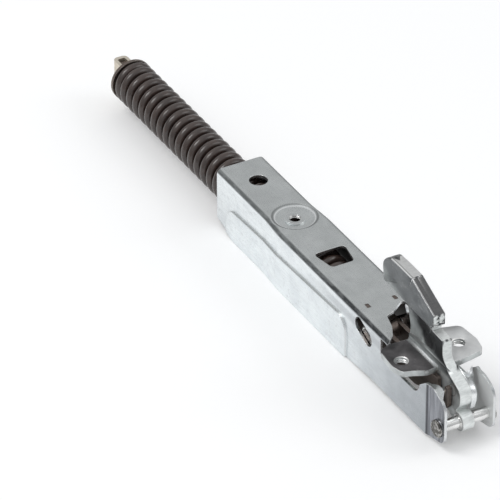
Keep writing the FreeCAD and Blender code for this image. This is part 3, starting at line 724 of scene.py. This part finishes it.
def flank_steel():
    """Bright plated face of the arm's formed flank."""
    g = Graph("flank_steel")
    place = g.coords()
    smooth, edge = g.rounded(0.25 * MM)
    cloud = g.noise(place, 140.0, 4.0, 0.6)
    mottle = g.ramp(cloud, 0.3, 0.7)
    fine = g.noise(place, 1900.0, 3.0, 0.6)
    colour = g.mix(mottle, (0.88, 0.90, 0.90), (0.70, 0.72, 0.73))
    # Painted highlights on the rounded edges.
    colour = g.mix(g.times(edge, 0.7), colour, (0.95, 0.95, 0.95))
    rough = g.ramp(fine, 0.25, 0.75, 0.24, 0.38)
    normal = g.bump(g.math("ADD", cloud, fine), 0.02 * MM, 0.6, smooth)
    g.shade(Base_Color=colour, Metallic=1.0, Roughness=rough, Normal=normal)
    return g.material


FLANK = flank_steel()


def sheet_piece(name, rows, thickness, material, body):
    """A solid sheet through rows of points that all have the same count."""
    columns = len(rows[0]) - 1
    faces = []
    for i in range(len(rows) - 1):
        for j in range(columns):
            a = i * (columns + 1) + j
            faces.append((a, a + 1, a + columns + 2, a + columns + 1))
    piece = make_mesh(name, [point for row in rows for point in row], faces, material)
    solid = piece.modifiers.new("sheet", "SOLIDIFY")
    solid.thickness = thickness * MM
    solid.offset = 0.0
    bpy.context.view_layer.update()
    final = piece.evaluated_get(bpy.context.evaluated_depsgraph_get())
    shaped = bpy.data.meshes.new_from_object(final)
    piece.modifiers.clear()
    piece.data = shaped
    piece.data.set_sharp_from_angle(angle=math.radians(50))
    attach(piece, body)


def make_flank():
    """A flange that leaves the plate's front edge and turns back to a ridge beside the wall."""
    count, columns = 28, 24
    root = bezier(FLANK_ROOT, count)
    ridge = bezier(FLANK_RIDGE, count)
    reach = blend_values(FLANK_REACH, count)
    rows = []
    for i in range(count + 1):
        above = (1 - i / count) ** 2
        row = []
        for j in range(columns + 1):
            across = j / columns
            y = FLANK_ROOT_Y + (reach[i] - FLANK_ROOT_Y) * across
            back = min(max((y - FLANK_TURN_Y) / (reach[i] - FLANK_TURN_Y), 0.0), 1.0)
            back *= back * (3 - 2 * back)
            x = root[i][0] + (ridge[i][0] - root[i][0]) * back
            z = root[i][1] + (ridge[i][1] - root[i][1]) * back
            row.append(Vector((x, y, z - FLANK_DIP * above * math.sin(math.pi * across))))
        rows.append(row)
    sheet_piece("arm_flank", rows, FLANK_THICKNESS, FLANK, "arm")


def make_tab():
    """A small tab that the left wall turns inwards beside the arm."""
    rows = [[Vector((x, -TAB_ROOT_Y, z)), Vector((x, -free, z))] for x, z, free in TAB_STATIONS]
    sheet_piece("wall_tab", rows, TAB_THICKNESS, MATERIALS["housing_sheet"], "housing")


make_flank()
make_tab()

# Floor
FLOOR_REACH = 4000.0
floor_corners = [
    Vector((side * FLOOR_REACH, end * FLOOR_REACH, FLOOR))
    for side, end in ((-1, -1), (1, -1), (1, 1), (-1, 1))
]
ground = make_mesh("floor", floor_corners, [(0, 1, 2, 3)], None)


def floor_material():
    """White card that keeps its shadow and is white to the camera and in reflections."""
    g = Graph("floor_card")
    tree = g.tree
    tree.nodes.remove(g.bsdf)
    card = tree.nodes.new("ShaderNodeBsdfDiffuse")
    card.inputs["Color"].default_value = (0.86, 0.86, 0.86, 1.0)
    glow = tree.nodes.new("ShaderNodeEmission")
    path = tree.nodes.new("ShaderNodeLightPath")
    seen = g.math("MAXIMUM", path.outputs["Is Camera Ray"], path.outputs["Is Glossy Ray"])
    seen = g.math("MAXIMUM", seen, path.outputs["Is Transmission Ray"])
    g.put(glow.inputs["Strength"], g.times(seen, 0.16))
    both = tree.nodes.new("ShaderNodeAddShader")
    tree.links.new(card.outputs[0], both.inputs[0])
    tree.links.new(glow.outputs[0], both.inputs[1])
    tree.links.new(both.outputs[0], tree.nodes["Material Output"].inputs["Surface"])
    return g.material


ground.data.materials.clear()
ground.data.materials.append(floor_material())

# Soft studio light
world = bpy.data.worlds.new("studio")
bpy.context.scene.world = world
world.use_nodes = True
tree = world.node_tree
background = tree.nodes["Background"]
sky = tree.nodes.new("ShaderNodeTexCoord")
split = tree.nodes.new("ShaderNodeSeparateXYZ")
tree.links.new(sky.outputs["Generated"], split.inputs[0])
level = tree.nodes.new("ShaderNodeMapRange")
level.inputs["From Min"].default_value = 0.0
level.inputs["From Max"].default_value = 1.0
level.inputs["To Min"].default_value = 0.42
level.inputs["To Max"].default_value = 0.80
tree.links.new(split.outputs[2], level.inputs["Value"])
tree.links.new(level.outputs["Result"], background.inputs["Strength"])
background.inputs["Color"].default_value = (0.97, 0.985, 1.0, 1.0)


def lamp(name, place, aim, size, power):
    """A square soft light, in metres and watts, turned to a point."""
    light = bpy.data.lights.new(name, "AREA")
    light.shape = "SQUARE"
    light.size = size
    light.energy = power
    obj = bpy.data.objects.new(name, light)
    bpy.context.scene.collection.objects.link(obj)
    obj.location = place
    obj.rotation_euler = (Vector(aim) - Vector(place)).to_track_quat("-Z", "Y").to_euler()


lamp("key", (-0.35, -0.75, 1.35), (-0.1, 0.0, 0.0), 0.7, 8.0)
lamp("fill", (0.5, 1.1, 0.9), (-0.1, 0.0, 0.0), 0.8, 3.0)

# Camera at the photograph's angle
camera = bpy.data.cameras.new("camera")
camera.sensor_width = 36.0
camera.lens = 355.1
camera.clip_end = 20.0
view = bpy.data.objects.new("camera", camera)
bpy.context.scene.collection.objects.link(view)
eye = Vector((1.3674, -0.8386, 1.1283))
aim = Vector((-0.0964, -0.0284, 0.0010))
view.location = eye
view.rotation_euler = (aim - eye).to_track_quat("-Z", "Y").to_euler()
bpy.context.scene.camera = view

bpy.context.scene.view_settings.view_transform = "Standard"
